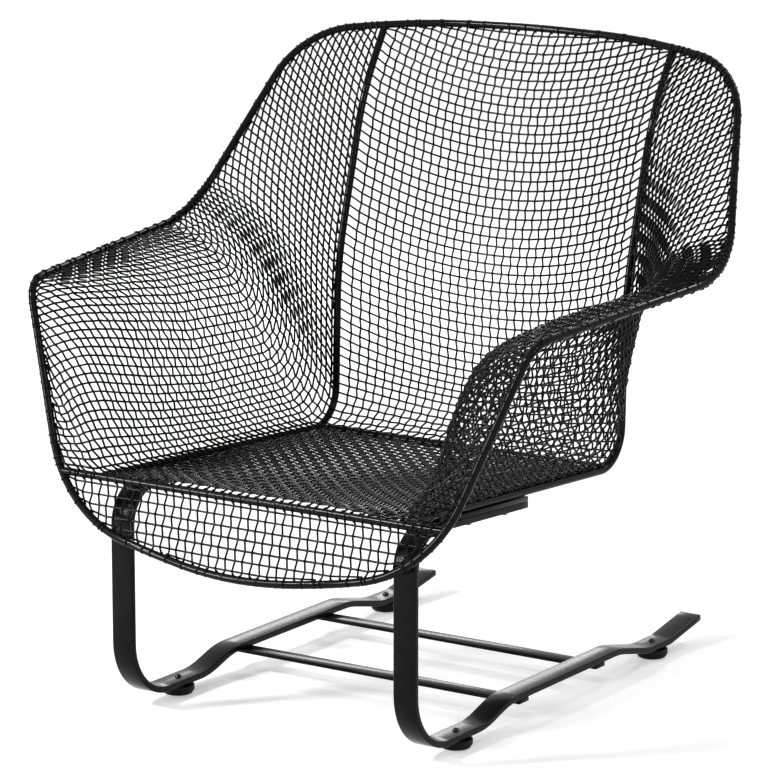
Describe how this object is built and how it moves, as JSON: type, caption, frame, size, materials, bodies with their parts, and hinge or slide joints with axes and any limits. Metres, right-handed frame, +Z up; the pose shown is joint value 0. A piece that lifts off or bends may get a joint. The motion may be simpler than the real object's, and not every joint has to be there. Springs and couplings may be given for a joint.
{
  "type": "spring rocking chair",
  "caption": "Low patio chair: a bucket seat of woven wire mesh in a bent rod frame, rocking on bent flat spring strips that are tied by cross bars and stand on round glides.",
  "frame": {"origin": "middle of the footprint, on the floor under the glides", "axes": "+X to the right seen from the front, +Y to the rear of the chair, +Z up"},
  "size_m": [0.7858, 0.722, 0.7858],
  "materials": {
    "rod_paint": "satin black",
    "mesh_paint": "satin black",
    "strip_paint": "gloss black",
    "glide_rubber": "matt black",
    "fastener_paint": "gloss black"
  },
  "bodies": {
    "base": {"spring_strip_left": "strip_paint", "spring_strip_right": "strip_paint", "front_cross_bar": "strip_paint", "rear_cross_bar": "strip_paint", "glide_front_left": "glide_rubber", "glide_front_right": "glide_rubber", "glide_rear_left": "glide_rubber", "glide_rear_right": "glide_rubber", "glide_rivets": "fastener_paint"},
    "seat": {"rim_top": "rod_paint", "rim_left": "rod_paint", "rim_right": "rod_paint", "rim_front": "rod_paint", "side_rod_left": "rod_paint", "side_rod_right": "rod_paint", "front_cross_rod": "rod_paint", "rear_cross_rod": "rod_paint", "seat_rail_left": "rod_paint", "seat_rail_right": "rod_paint", "rail_studs": "fastener_paint", "rail_nuts": "fastener_paint", "back_mesh_columns": "mesh_paint", "back_mesh_rows": "mesh_paint", "seat_mesh_columns": "mesh_paint", "seat_mesh_rows": "mesh_paint", "lip_mesh_columns": "mesh_paint", "lip_mesh_rows": "mesh_paint", "side_mesh_left_ribs": "mesh_paint", "side_mesh_left_rails": "mesh_paint", "side_mesh_right_ribs": "mesh_paint", "side_mesh_right_rails": "mesh_paint"}
  },
  "joints": [
    {"name": "spring_rock", "type": "hinge", "parent": "base", "child": "seat", "pos_m": [0, -0.303, 0.15], "axis": [-1, 0, 0], "range_deg": [-4, 8], "stiffness_Nm_per_rad": 1650, "springref_deg": -0.6, "deforming": ["spring_strip_left", "spring_strip_right"]}
  ]
}
